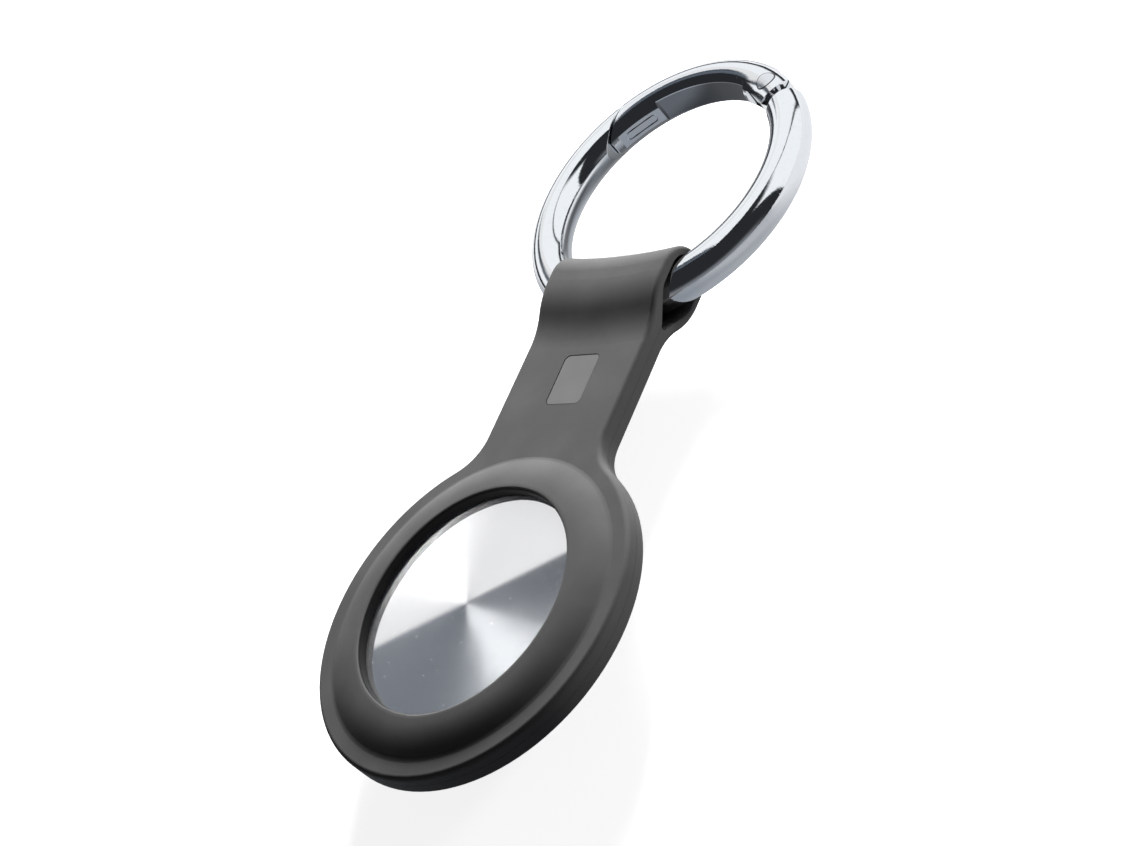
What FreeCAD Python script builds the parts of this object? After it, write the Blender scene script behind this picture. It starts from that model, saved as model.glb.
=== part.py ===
"""Tracker tag holder: a silicone strap that grips a round tracker tag and hangs from a spring-gate ring.

The holder lies on its back. +Z is the front normal, +Y runs along the strap towards the ring, +X is the
width. The origin is the middle of the footprint, on the surface that the back foot rests on. Millimetres.
"""
import FreeCAD, Part
import math
import os
import Sketcher

doc = FreeCAD.newDocument("tracker_tag_holder")

# Driving sizes, in millimetres and degrees
SIZES = {
    # coin cell and the well that holds it
    "cell_diameter": 20.0,
    "cell_height": 3.2,
    "cell_sheet": 0.25,
    "cell_gap": 0.1,
    "cell_well_gap": 0.5,
    "gasket_wall": 0.65,
    "tray_floor": 0.4,
    "tray_wall": 0.5,
    "tray_flange": 0.55,
    "tray_gap": 0.05,
    # bayonet cover
    "bayonet_ring_gap": 0.3,
    "bayonet_ring_width": 1.1,
    "bayonet_ring_height": 1.1,
    "bayonet_lip": 0.75,
    "cover_sheet": 0.35,
    "skirt_gap": 0.1,
    "cover_edge_round": 0.25,
    "cover_gap": 0.15,
    "lug_count": 3,
    "lug_reach": 0.85,
    "lug_thickness": 0.6,
    "lug_angle": 22.0,
    "lug_turn": 30.0,
    "lug_clearance": 0.05,
    "lug_play": 3.3,
    # tag shell
    "rim_width": 3.2,
    "rim_step": 0.05,
    "rim_round": 1.0,
    "shoulder_round": 4.6,
    "shell_wall": 1.0,
    # board, sounder, contacts and antenna
    "board_thickness": 0.6,
    "board_gap": 0.4,
    "board_margin": 0.4,
    "chip_height": 0.55,
    "chip_side": 2.0,
    "chip_count": 5,
    "chip_first_angle": 30.0,
    "chip_step_angle": 70.0,
    "sounder_room": 2.9,
    "sounder_depth": 1.85,
    "sounder_wall": 0.5,
    "sounder_gap": 0.6,
    "magnet_diameter": 6.6,
    "coil_gap": 0.3,
    "coil_wall": 0.6,
    "coil_height": 1.5,
    "contact_sheet": 0.15,
    "contact_width": 2.4,
    "contact_angle": 36.0,
    "leaf_slot_play": 4.0,
    "antenna_sheet": 0.2,
    "antenna_width": 1.8,
    "antenna_angle": 300.0,
    # holder: plate, lip, back cup and foot
    "plate_thickness": 2.8,
    "plate_edge_round": 0.5,
    "flange_width": 1.95,
    "lip_overlap": 0.25,
    "lip_height": 2.65,
    "lip_wall": 1.2,
    "lip_crest": 0.5,
    "lip_edge_round": 0.3,
    "bulge_wall": 0.85,
    "bulge_round": 7.3,
    "valley_round": 0.8,
    "foot_cover": 5.95,
    "foot_width": 1.2,
    "foot_rise": 0.25,
    "foot_edge_round": 0.3,
    "back_wall": 0.95,
    "pocket_clearance": 0.1,
    # holder: strap, bare patch and loop
    "strap_width": 16.4,
    "strap_run": 10.85,
    "neck_round": 5.0,
    "patch_width": 4.8,
    "patch_length": 6.2,
    "patch_corner": 0.7,
    "patch_depth": 0.15,
    "patch_reach": 4.1,
    "patch_offset": 0.5,
    "loop_wall": 0.95,
    "loop_drop": 0.3,
    "loop_slack": 0.35,
    "loop_root_reach": 6.67,
    "loop_tip_reach": 4.07,
    "loop_tip_round": 0.35,
    "loop_side_reach": 0.92,
    "loop_saddle_round": 56.6,
    # spring-gate ring
    "ring_inner": 26.2,
    "ring_wire": 4.45,
    "ring_clearance": 0.15,
    "hinge_angle": 51.0,
    "gate_opening": 25.0,
    "rivet_diameter": 2.2,
    "rivet_clearance": 0.05,
    "rivet_proud": 0.04,
    "tongue_thickness": 2.2,
    "tongue_inset": 0.3,
    "tongue_flat": 1.6,
    "fork_clearance": 0.1,
    "fork_end_gap": 0.15,
    "ear_margin": 0.1,
    "shoulder_gap": 0.9,
    "shoulder_edge_round": 0.2,
    "gate_flat_depth": 0.63,
    "gate_flat_start": 13.0,
    "gate_flat_end": 66.5,
    "gate_pad_depth": 0.2,
    "gate_pad_end": 91.0,
    "pad_groove_run": 3.2,
    "pad_groove_width": 1.1,
    "pad_groove_line": 0.18,
    "pad_groove_depth": 0.1,
    "nose_angle": 84.5,
    "nose_slant": 53.0,
    "nose_gap": 0.15,
    "nose_edge_round": 0.12,
    "nose_tip_reach": 3.3,
    "bore_offset": 0.8,
    "plunger_diameter": 1.3,
    "plunger_length": 2.3,
    "plunger_clearance": 0.05,
    "plunger_tip_gap": 0.03,
    "spring_wire": 0.2,
    "spring_room": 3.27,
    "spring_turns": 5,
}

# Sizes and places that follow from the driving ones
DERIVED = {
    # radii from the coin cell outwards: well, bayonet ring, cover, tag, bulge, disc
    "cell_radius": "Sizes.cell_diameter / 2",
    "gasket_outer": "cell_radius - Sizes.cell_sheet",
    "gasket_inner": "gasket_outer - Sizes.gasket_wall",
    "well_radius": "cell_radius + Sizes.cell_well_gap",
    "bayonet_ring_inner": "well_radius + Sizes.tray_wall + Sizes.bayonet_ring_gap",
    "skirt_inner": "bayonet_ring_inner + Sizes.bayonet_ring_width",
    "cover_radius": "skirt_inner + Sizes.cover_sheet",
    "mouth_radius": "cover_radius + Sizes.cover_gap",
    "lug_radius": "cover_radius + Sizes.lug_reach",
    "lip_radius": "cover_radius - Sizes.lip_overlap",
    "tag_radius": "cover_radius + Sizes.rim_width",
    "bulge_radius": "tag_radius + Sizes.bulge_wall",
    "disc_radius": "bulge_radius + Sizes.flange_width",
    # heights from the plate's middle plane: lip, tag, cell, tray
    "plate_half": "Sizes.plate_thickness / 2",
    "tag_top": "Sizes.lip_height - Sizes.lip_wall",
    "tag_rim": "tag_top - Sizes.rim_step",
    "equator_z": "tag_rim - Sizes.rim_round",
    "bayonet_floor": "tag_rim - Sizes.bayonet_lip",
    "lug_top": "bayonet_floor - Sizes.lug_clearance",
    "lug_bottom": "lug_top - Sizes.lug_thickness",
    "bayonet_ring_top": "tag_top - Sizes.cover_sheet",
    "bayonet_ring_bottom": "bayonet_ring_top - Sizes.bayonet_ring_height",
    "flange_top": "min(lug_bottom; bayonet_ring_bottom) - Sizes.lug_clearance",
    "flange_bottom": "flange_top - Sizes.tray_flange",
    "cell_top": "tag_top - Sizes.cover_sheet - Sizes.cell_gap",
    "cell_bottom": "cell_top - Sizes.cell_height",
    "tray_top": "cell_bottom - Sizes.tray_gap",
    "tray_bottom": "tray_top - Sizes.tray_floor",
    "board_top": "tray_bottom - Sizes.tray_gap",
    "board_bottom": "board_top - Sizes.board_thickness",
    "tag_apex": "tray_bottom - Sizes.sounder_room - Sizes.shell_wall",
    # tag dome, tangent to the shoulder
    "shoulder_x": "tag_radius - Sizes.shoulder_round",
    "dome_drop": "equator_z - tag_apex",
    "dome_round": "(shoulder_x^2 + dome_drop^2 - Sizes.shoulder_round^2)"
                  " / (2 * (dome_drop - Sizes.shoulder_round))",
    "dome_z": "tag_apex + dome_round",
    "dome_cos": "shoulder_x / (dome_round - Sizes.shoulder_round)",
    "dome_sin": "(dome_z - equator_z) / (dome_round - Sizes.shoulder_round)",
    "flange_radius": "shoulder_x + sqrt((Sizes.shoulder_round - Sizes.shell_wall)^2"
                     " - (equator_z - flange_bottom)^2) - Sizes.pocket_clearance",
    # sounder and board, from the magnet outwards
    "magnet_radius": "Sizes.magnet_diameter / 2",
    "coil_inner": "magnet_radius + Sizes.coil_gap",
    "coil_outer": "coil_inner + Sizes.coil_wall",
    "sounder_inner": "coil_outer + Sizes.sounder_gap",
    "sounder_radius": "sounder_inner + Sizes.sounder_wall",
    "magnet_top": "tray_bottom - Sizes.sounder_wall",
    "sounder_bottom": "tray_bottom - Sizes.sounder_depth",
    "coil_bottom": "dome_z - sqrt((dome_round - Sizes.shell_wall)^2 - coil_outer^2)",
    "board_inner": "sounder_radius + Sizes.board_gap",
    "board_outer": "cell_radius + Sizes.board_margin",
    "chip_circle": "(board_inner + board_outer) / 2",
    "button_y": "(gasket_inner + board_inner) / 2",
    # back of the holder, wrapped round the tag's shoulder down to its foot
    "foot_depth": "Sizes.foot_rise - tag_apex",
    "foot_inner": "tag_radius - Sizes.foot_cover",
    "foot_outer": "foot_inner + Sizes.foot_width",
    "back_round": "Sizes.shoulder_round + Sizes.pocket_clearance + Sizes.back_wall",
    "back_base": "shoulder_x + sqrt(back_round^2 - (equator_z + plate_half)^2)",
    "back_reach": "sqrt((foot_outer - shoulder_x)^2 + (equator_z + foot_depth)^2)",
    "back_turn": "acos(back_round / back_reach) - acos((foot_outer - shoulder_x) / back_reach)",
    # strap and neck
    "strap_half": "Sizes.strap_width / 2",
    "neck_x": "strap_half + Sizes.neck_round",
    "neck_y": "sqrt((disc_radius + Sizes.neck_round)^2 - neck_x^2)",
    "neck_share": "disc_radius / (disc_radius + Sizes.neck_round)",
    "loop_root_y": "neck_y + Sizes.strap_run",
    "patch_y": "loop_root_y - Sizes.patch_reach",
    # ring, and the loop at the end of the strap that follows its bar
    "wire_radius": "Sizes.ring_wire / 2",
    "ring_radius": "Sizes.ring_inner / 2 + wire_radius",
    "bar_y": "loop_root_y + Sizes.loop_root_reach",
    "ring_distance": "bar_y + ring_radius",
    "loop_inner": "wire_radius + Sizes.ring_clearance",
    "loop_outer": "loop_inner + Sizes.loop_wall",
    "loop_tip_y": "bar_y - Sizes.loop_tip_reach",
    "loop_side_y": "bar_y + Sizes.loop_side_reach",
    "crown_round": "loop_inner + Sizes.loop_saddle_round",
    "bar_sag": "ring_radius - sqrt(ring_radius^2 - strap_half^2)",
    "saddle_rise": "crown_round - sqrt(crown_round^2 - strap_half^2)",
    "loop_crown_y": "bar_y + bar_sag - saddle_rise + Sizes.loop_slack",
    "loop_axis_y": "loop_crown_y + crown_round",
    "loop_run": "loop_side_y - loop_root_y",
    "loop_rise_front": "loop_outer - Sizes.loop_drop - plate_half",
    "loop_rise_back": "loop_outer + Sizes.loop_drop - plate_half",
    "loop_bend_front": "(loop_run^2 + loop_rise_front^2) / (4 * loop_rise_front)",
    "loop_bend_back": "(loop_run^2 + loop_rise_back^2) / (4 * loop_rise_back)",
    "loop_taper": "asin((loop_inner - Sizes.loop_tip_round) / Sizes.loop_tip_reach)",
    "loop_sweep": "2 * asin((strap_half + Sizes.loop_wall) / (Sizes.loop_saddle_round - Sizes.loop_wall))",
    # places of the disc and of the ring in the part's frame
    "disc_y": "(disc_radius - ring_distance - ring_radius - wire_radius) / 2",
    "disc_z": "foot_depth",
    "ring_y": "disc_y + ring_distance",
    "ring_z": "disc_z - Sizes.loop_drop",
    # gate, hinge and spring, in the ring's own frame with the rivet on its X axis
    "rivet_radius": "Sizes.rivet_diameter / 2",
    "tongue_half": "wire_radius - Sizes.tongue_inset",
    "ear_round": "wire_radius + Sizes.ear_margin",
    "shoulder_y": "ear_round + Sizes.shoulder_gap",
    "fork_slot": "Sizes.tongue_thickness + 2 * Sizes.fork_clearance",
    "fork_depth": "Sizes.tongue_flat * cos(Sizes.gate_opening) + tongue_half * sin(Sizes.gate_opening)"
                  " + Sizes.fork_end_gap",
    "tongue_root": "asin((shoulder_y + Sizes.shoulder_gap) / (ring_radius - tongue_half))",
    "gate_flat_radius": "Sizes.ring_inner / 2 + Sizes.gate_flat_depth",
    "gate_pad_radius": "Sizes.ring_inner / 2 + Sizes.gate_pad_depth",
    "nose_heading": "Sizes.nose_angle + 180 - Sizes.nose_slant",
    "nose_reach": "2 * Sizes.ring_wire",
    "plunger_x": "ring_radius - Sizes.bore_offset",
    "plunger_radius": "Sizes.plunger_diameter / 2",
    "plunger_tip": "Sizes.tongue_flat + Sizes.plunger_tip_gap",
    "plunger_back": "plunger_tip + Sizes.plunger_length",
    "bore_radius": "plunger_radius + Sizes.plunger_clearance",
    "bore_end": "plunger_back + Sizes.spring_room",
    "spring_radius": "bore_radius - Sizes.plunger_clearance - Sizes.spring_wire / 2",
    "spring_length": "Sizes.spring_room - Sizes.spring_wire",
}


def fill_sheet(name, rows):
    """A spreadsheet of named cells: the name in column A, its aliased value in column B."""
    table = doc.addObject("Spreadsheet::Sheet", name)
    for row, (alias, content) in enumerate(rows, start=1):
        table.set(f"A{row}", alias)
        table.setAlias(f"B{row}", alias)
        table.set(f"B{row}", content)
    doc.recompute()
    return table


sizes = fill_sheet("Sizes", [(alias, str(value)) for alias, value in SIZES.items()])
derived = fill_sheet("Derived", [(alias, "=" + text) for alias, text in DERIVED.items()])


def number(formula):
    """The value of a formula over the two sheets, as a plain number."""
    value = sizes.evalExpression(formula)
    return float(getattr(value, "Value", value))


DISC_PLACE = {"Base.y": "Derived.disc_y", "Base.z": "Derived.disc_z"}
RING_PLACE = {"Base.y": "Derived.ring_y", "Base.z": "Derived.ring_z", "Rotation.Angle": "Sizes.hinge_angle"}
FAR = "2 * Derived.disc_radius"
NEAR = 0.001


def new_body(label, place):
    """A body that is modelled in the frame of the disc or of the ring, and placed there."""
    body = doc.addObject("PartDesign::Body", label)
    body.Label = label
    for field, formula in place.items():
        body.setExpression(f"Placement.{field}", formula)
    return body


def origin_feature(body, role):
    return next(feature for feature in body.Origin.OriginFeatures if feature.Role == role)


def new_sketch(body, name, plane, height=None, heading=None):
    """A sketch on one of the body's own planes, raised along its normal or swung about its upright axis."""
    sketch = body.newObject("Sketcher::SketchObject", name)
    sketch.AttachmentSupport = [(origin_feature(body, plane), "")]
    sketch.MapMode = "FlatFace"
    if height is not None:
        sketch.setExpression("AttachmentOffset.Base.z", height)
    if heading is not None:
        upright = FreeCAD.Rotation(FreeCAD.Vector(0, 1, 0), number(heading))
        sketch.AttachmentOffset = FreeCAD.Placement(FreeCAD.Vector(), upright)
        sketch.setExpression("AttachmentOffset.Rotation.Angle", heading)
    return sketch


def bind(sketch, kind, *where, formula):
    """A dimension of the sketch that follows a formula."""
    index = sketch.addConstraint(Sketcher.Constraint(kind, *where, number(formula)))
    sketch.setExpression(f"Constraints[{index}]", formula)


def fix_point(sketch, geometry, end, point):
    """Place one end of a line or arc, or a circle's centre, at a pair of formulas."""
    axes = (("DistanceX", -2), ("DistanceY", -1))
    for (kind, axis), formula in zip(axes, point):
        if formula == "0":
            sketch.addConstraint(Sketcher.Constraint("PointOnObject", geometry, end, axis))
        else:
            bind(sketch, kind, -1, 1, geometry, end, formula=formula)


def polar(radius, angle, centre=("0", "0")):
    """A point given by its distance from a centre and its heading."""
    return (f"{centre[0]} + ({radius}) * cos({angle})", f"{centre[1]} + ({radius}) * sin({angle})")


def arc_between(start, end, radius, turn):
    """The short arc from start to end that turns left or right, and whether it runs start to end."""
    chord = end - start
    offset = max(radius**2 - (chord.Length / 2)**2, 0)**0.5
    left = FreeCAD.Vector(-chord.y, chord.x, 0).normalize()
    centre = (start + end) * 0.5 + left * (offset if turn == "left" else -offset)
    first, last = (start, end) if turn == "left" else (end, start)
    circle = Part.Circle(centre, FreeCAD.Vector(0, 0, 1), radius)
    return Part.ArcOfCircle(circle, circle.parameter(first), circle.parameter(last)), turn == "left"


def draw_outline(sketch, steps):
    """A closed outline. Each step is (x, y), or (x, y, turn, radius) where an arc leads on from there."""
    points = [FreeCAD.Vector(number(step[0]), number(step[1]), 0) for step in steps]
    ends = []
    for index, step in enumerate(steps):
        start = points[index]
        end = points[(index + 1) % len(points)]
        if len(step) == 4:
            shape, forward = arc_between(start, end, number(step[3]), step[2])
            geometry = sketch.addGeometry(shape)
            bind(sketch, "Radius", geometry, formula=step[3])
        else:
            geometry = sketch.addGeometry(Part.LineSegment(start, end))
            forward = True
        ends.append((geometry, 1 if forward else 2, 2 if forward else 1))
    for index, (geometry, first, last) in enumerate(ends):
        after, after_first, _ = ends[(index + 1) % len(ends)]
        sketch.addConstraint(Sketcher.Constraint("Coincident", geometry, last, after, after_first))
        fix_point(sketch, geometry, first, steps[index][:2])


def draw_circle(sketch, centre, radius):
    where = FreeCAD.Vector(number(centre[0]), number(centre[1]), 0)
    geometry = sketch.addGeometry(Part.Circle(where, FreeCAD.Vector(0, 0, 1), number(radius)))
    bind(sketch, "Radius", geometry, formula=radius)
    fix_point(sketch, geometry, 3, centre)


def draw_axis(sketch, start, end):
    """A construction line that a revolved or coiled feature turns about."""
    points = [FreeCAD.Vector(number(x), number(y), 0) for x, y in (start, end)]
    geometry = sketch.addGeometry(Part.LineSegment(*points), True)
    fix_point(sketch, geometry, 1, start)
    fix_point(sketch, geometry, 2, end)
    return (sketch, ["Axis0"])


def extrude(body, kind, sketch, name, length=None):
    """A pad or pocket, symmetric about its sketch, and through all where no length is given."""
    feature = body.newObject(f"PartDesign::{kind}", name)
    feature.Profile = sketch
    if length is None:
        feature.Type = "ThroughAll"
    else:
        feature.setExpression("Length", length)
    feature.SideType = "Symmetric"
    doc.recompute()
    return feature


def turn(body, kind, sketch, name, axis=None, angle=None):
    """A revolution or groove: a full turn about the sketch's vertical axis, or a symmetric sector."""
    feature = body.newObject(f"PartDesign::{kind}", name)
    feature.Profile = sketch
    feature.ReferenceAxis = axis or (sketch, ["V_Axis"])
    if angle is not None:
        feature.Midplane = True
        feature.setExpression("Angle", angle)
    doc.recompute()
    return feature


def repeat_round(body, feature, name):
    """Copies of a feature round the body's Z axis, one for each bayonet lug."""
    pattern = body.newObject("PartDesign::PolarPattern", name)
    pattern.Originals = [feature]
    pattern.Axis = (origin_feature(body, "Z_Axis"), [""])
    pattern.Angle = 360
    pattern.setExpression("Occurrences", "Sizes.lug_count")
    body.Tip = pattern
    doc.recompute()
    return pattern


def round_edges(body, name, radius, wanted):
    """Fillet the edges of the body's last feature that the test picks."""
    base = body.Tip
    edges = [f"Edge{index}" for index, edge in enumerate(base.Shape.Edges, start=1) if wanted(edge)]
    feature = body.newObject("PartDesign::Fillet", name)
    feature.Base = (base, edges)
    feature.setExpression("Radius", radius)
    doc.recompute()
    return feature


def ring_edge(radius, height):
    """Picks the circles about the disc's axis with this radius and height."""
    def wanted(edge):
        curve = edge.Curve
        return (isinstance(curve, Part.Circle)
                and abs(curve.Radius - number(radius)) < NEAR
                and abs(curve.Center.z - number(height)) < NEAR
                and abs(curve.Center.x) + abs(curve.Center.y) < NEAR)
    return wanted


def rim_edge(on_plan):
    """Picks the edges on the ring's round surface where a plan test holds, in the ring's own frame."""
    centre_line, wire = number("Derived.ring_radius"), number("Derived.wire_radius")

    def wanted(edge):
        return all(abs(math.hypot(math.hypot(point.x, point.y) - centre_line, point.z) - wire) < NEAR
                   and abs(on_plan(point)) < NEAR for point in edge.discretize(5))
    return wanted


def from_nose_line(gap):
    """A point's distance in plan from the slanted nose cut, moved by a gap."""
    along = math.radians(number("Derived.nose_heading"))
    x, y = (number(formula) for formula in polar("Derived.ring_radius", "Sizes.nose_angle"))
    return lambda point: (point.y - y) * math.cos(along) - (point.x - x) * math.sin(along) - number(gap)


def at_gate_tip(edge):
    """Picks the edges round the gate's slanted nose face and its blunt inner tip."""
    from_line = from_nose_line("Sizes.nose_gap")
    points = edge.discretize(5)
    inner = nose_line("Sizes.nose_gap")[1]
    tip = polar("Sizes.nose_tip_reach - Derived.nose_reach", "Derived.nose_heading", inner)
    heading = math.atan2(number(tip[1]), number(tip[0]))
    on_face = all(abs(from_line(point)) < NEAR for point in points)
    on_tip = all(abs(point.x * math.sin(heading) - point.y * math.cos(heading)) < NEAR
                 and point.y > 0 for point in points)
    return on_face or on_tip


def on_outline(edge):
    """Picks the front and back edges all round the plate, the strap and the loop."""
    half = number("Derived.plate_half")
    strap = number("Derived.strap_half")
    points = edge.discretize(5)
    along_side = (all(abs(abs(point.x) - strap) < NEAR for point in points)
                  and abs(points[0].y - points[-1].y) > NEAR)
    flat = all(abs(abs(point.z) - half) < NEAR for point in points)
    disc = number("Derived.disc_radius")
    round_disc = all(math.hypot(point.x, point.y) > disc - NEAR for point in points)
    return along_side or (flat and round_disc and points[0].y < number("Derived.loop_root_y"))


def tag_surface(offset):
    """Steps down the tag's outer surface, from the rim's edge to the apex, moved out by an offset."""
    shoulder = f"Sizes.shoulder_round + ({offset})"
    dome = f"Derived.dome_round + ({offset})"
    meet = (f"({dome}) * Derived.dome_cos", f"Derived.dome_z - ({dome}) * Derived.dome_sin")
    return [
        (f"Derived.tag_radius + ({offset})", "Derived.equator_z", "right", shoulder),
        (meet[0], meet[1], "right", dome),
    ]


def dome_height(radius, offset):
    """Height of the tag's dome, moved out by an offset, at a distance from the axis."""
    return f"Derived.dome_z - sqrt((Derived.dome_round + ({offset}))^2 - ({radius})^2)"


def rectangle(x, y, width, length):
    """The plan of a rectangle about its centre."""
    left, right = f"{x} - ({width}) / 2", f"{x} + ({width}) / 2"
    low, high = f"{y} - ({length}) / 2", f"{y} + ({length}) / 2"
    return [(left, low), (right, low), (right, high), (left, high)]


def rounded_rectangle(x, y, width, length, corner):
    """The plan of a rectangle about its centre, with round corners."""
    left, right = f"{x} - {width} / 2", f"{x} + {width} / 2"
    low, high = f"{y} - {length} / 2", f"{y} + {length} / 2"
    return [
        (f"{left} + {corner}", low),
        (f"{right} - {corner}", low, "left", corner),
        (right, f"{low} + {corner}"),
        (right, f"{high} - {corner}", "left", corner),
        (f"{right} - {corner}", high),
        (f"{left} + {corner}", high, "left", corner),
        (left, f"{high} - {corner}"),
        (left, f"{low} + {corner}", "left", corner),
    ]


def oblong(run, width):
    """A slot's plan about the origin: two straight sides of the run's length, joined by half circles."""
    half = f"({width}) / 2"
    return [
        (f"-{run} / 2", f"-1 * {half}"),
        (f"{run} / 2", f"-1 * {half}", "left", half),
        (f"{run} / 2 + {half}", "0", "left", half),
        (f"{run} / 2", half),
        (f"-{run} / 2", half, "left", half),
        (f"-{run} / 2 - {half}", "0", "left", half),
    ]


# The holder: plate with neck and strap, bulged rim and back cup, ring loop, tag pocket, bare patch

def loop_outline():
    """Side profile of the loop's outside, from its root on the strap's back round to its front."""
    middle = "-Sizes.loop_drop"
    root = "Derived.loop_root_y"
    side = "Derived.loop_side_y"
    half_way = f"({root} + {side}) / 2"
    low = "-Derived.plate_half"
    high = "Derived.plate_half"
    back = f"{middle} - Derived.loop_outer"
    front = f"{middle} + Derived.loop_outer"
    crown = "Derived.loop_crown_y"
    return [
        (root, low, "right", "Derived.loop_bend_back"),
        (half_way, f"{low} - Derived.loop_rise_back / 2", "left", "Derived.loop_bend_back"),
        (side, back),
        (crown, back, "left", "Derived.loop_outer"),
        (f"{crown} + Derived.loop_outer", middle, "left", "Derived.loop_outer"),
        (crown, front),
        (side, front, "left", "Derived.loop_bend_front"),
        (half_way, f"{high} + Derived.loop_rise_front / 2", "right", "Derived.loop_bend_front"),
        (root, high),
    ]


def loop_opening():
    """Teardrop side profile of the hole that the ring's bar runs in."""
    middle = "-Sizes.loop_drop"
    inner = "Derived.loop_inner"
    crown = "Derived.loop_crown_y"
    bar = "Derived.bar_y"
    taper = "Derived.loop_taper"
    tip = "Derived.loop_tip_y"
    small = "Sizes.loop_tip_round"
    lean = (f"{bar} - {inner} * sin({taper})", f"{inner} * cos({taper})")
    end = (f"{tip} - {small} * sin({taper})", f"{small} * cos({taper})")
    return [
        (f"{crown} + {inner}", middle, "left", inner),
        (crown, f"{middle} + {inner}"),
        (bar, f"{middle} + {inner}", "left", inner),
        (lean[0], f"{middle} + {lean[1]}"),
        (end[0], f"{middle} + {end[1]}", "left", small),
        (f"{tip} - {small}", middle, "left", small),
        (end[0], f"{middle} - {end[1]}"),
        (lean[0], f"{middle} - {lean[1]}", "left", inner),
        (bar, f"{middle} - {inner}"),
        (crown, f"{middle} - {inner}", "left", inner),
    ]


def make_holder():
    body = new_body("holder_sleeve", DISC_PLACE)
    half = "Derived.plate_half"

    plan = new_sketch(body, "holder_plan", "XY_Plane")
    strap_end = "Derived.loop_tip_y"
    neck = ("Derived.strap_half", "Derived.neck_y")
    meet = ("Derived.neck_x * Derived.neck_share", "Derived.neck_y * Derived.neck_share")
    draw_outline(plan, [
        ("Derived.strap_half", strap_end),
        (f"-1 * {neck[0]}", strap_end),
        (f"-1 * {neck[0]}", neck[1], "right", "Sizes.neck_round"),
        (f"-1 * {meet[0]}", meet[1], "left", "Derived.disc_radius"),
        ("0", "-Derived.disc_radius", "left", "Derived.disc_radius"),
        (meet[0], meet[1], "right", "Sizes.neck_round"),
        (neck[0], neck[1]),
    ])
    extrude(body, "Pad", plan, "holder_plate", "Sizes.plate_thickness")

    cup = new_sketch(body, "holder_section", "XZ_Plane")
    lean = polar("Derived.back_round", "Derived.back_turn", ("Derived.shoulder_x", "Derived.equator_z"))
    draw_outline(cup, [
        ("0", "Sizes.lip_height"),
        ("0", "-Derived.foot_depth"),
        ("Derived.foot_outer", "-Derived.foot_depth"),
        (lean[0], lean[1], "left", "Derived.back_round"),
        ("Derived.back_base", f"-{half}"),
        ("Derived.bulge_radius", half, "left", "Sizes.bulge_round"),
        ("Derived.lip_radius + Sizes.lip_crest", "Sizes.lip_height"),
    ])
    turn(body, "Revolution", cup, "holder_cup")

    side = new_sketch(body, "loop_section", "YZ_Plane")
    draw_outline(side, loop_outline())
    axis = draw_axis(side, ("Derived.loop_axis_y", "-Sizes.plate_thickness"),
                     ("Derived.loop_axis_y", "Sizes.plate_thickness"))
    turn(body, "Revolution", side, "holder_loop", axis, "Derived.loop_sweep")

    trim = new_sketch(body, "strap_sides", "XY_Plane")
    for sign in ("", "-1 * "):
        near = f"{sign}Derived.strap_half"
        away = f"{sign}{FAR}"
        draw_outline(trim, [(near, "Derived.patch_y"), (away, "Derived.patch_y"),
                            (away, "2 * Derived.ring_distance"), (near, "2 * Derived.ring_distance")])
    extrude(body, "Pocket", trim, "strap_trim")
    round_edges(body, "outline_rounds", "Sizes.plate_edge_round", on_outline)
    round_edges(body, "front_valley", "Sizes.valley_round", ring_edge("Derived.bulge_radius", half))
    round_edges(body, "back_valley", "Sizes.valley_round", ring_edge("Derived.back_base", f"-{half}"))

    hole = new_sketch(body, "loop_hole_section", "YZ_Plane")
    draw_outline(hole, loop_opening())
    axis = draw_axis(hole, ("Derived.loop_axis_y", "-Sizes.plate_thickness"),
                     ("Derived.loop_axis_y", "Sizes.plate_thickness"))
    turn(body, "Groove", hole, "loop_hole", axis, "2 * Derived.loop_sweep")

    gap = "Sizes.pocket_clearance"
    pocket = new_sketch(body, "tag_pocket_section", "XZ_Plane")
    ceiling = f"Derived.tag_rim + {gap}"
    draw_outline(pocket, [
        ("0", "2 * Sizes.lip_height"),
        ("Derived.lip_radius", "2 * Sizes.lip_height"),
        ("Derived.lip_radius", ceiling),
        ("Derived.tag_radius - Sizes.rim_round", ceiling, "right", f"Sizes.rim_round + {gap}"),
    ] + tag_surface(gap) + [
        ("Derived.foot_inner", dome_height("Derived.foot_inner", gap)),
        ("Derived.foot_inner", "-2 * Derived.foot_depth"),
        ("0", "-2 * Derived.foot_depth"),
    ])
    turn(body, "Groove", pocket, "tag_pocket")
    round_edges(body, "lip_round", "Sizes.lip_edge_round",
                ring_edge("Derived.lip_radius", "Sizes.lip_height"))
    round_edges(body, "foot_outer_round", "Sizes.foot_edge_round",
                ring_edge("Derived.foot_outer", "-Derived.foot_depth"))
    round_edges(body, "foot_inner_round", "Sizes.foot_edge_round",
                ring_edge("Derived.foot_inner", "-Derived.foot_depth"))

    patch = new_sketch(body, "patch_plan", "XY_Plane", half)
    draw_outline(patch, rounded_rectangle("Sizes.patch_offset", "Derived.patch_y", "Sizes.patch_width",
                                          "Sizes.patch_length", "Sizes.patch_corner"))
    extrude(body, "Pocket", patch, "bare_patch", "2 * Sizes.patch_depth")
    return body


def make_lathe_piece(label, steps, angle=None):
    """A sub-part of the tag that is one section turned about the tag's axis."""
    body = new_body(label, DISC_PLACE)
    section = new_sketch(body, f"{label}_section", "XZ_Plane")
    draw_outline(section, steps)
    turn(body, "Revolution", section, f"{label}_turned", angle=angle)
    return body


def block(inner, outer, low, high):
    """The section of a plain ring or disc."""
    return [(inner, low), (outer, low), (outer, high), (inner, high)]


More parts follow.
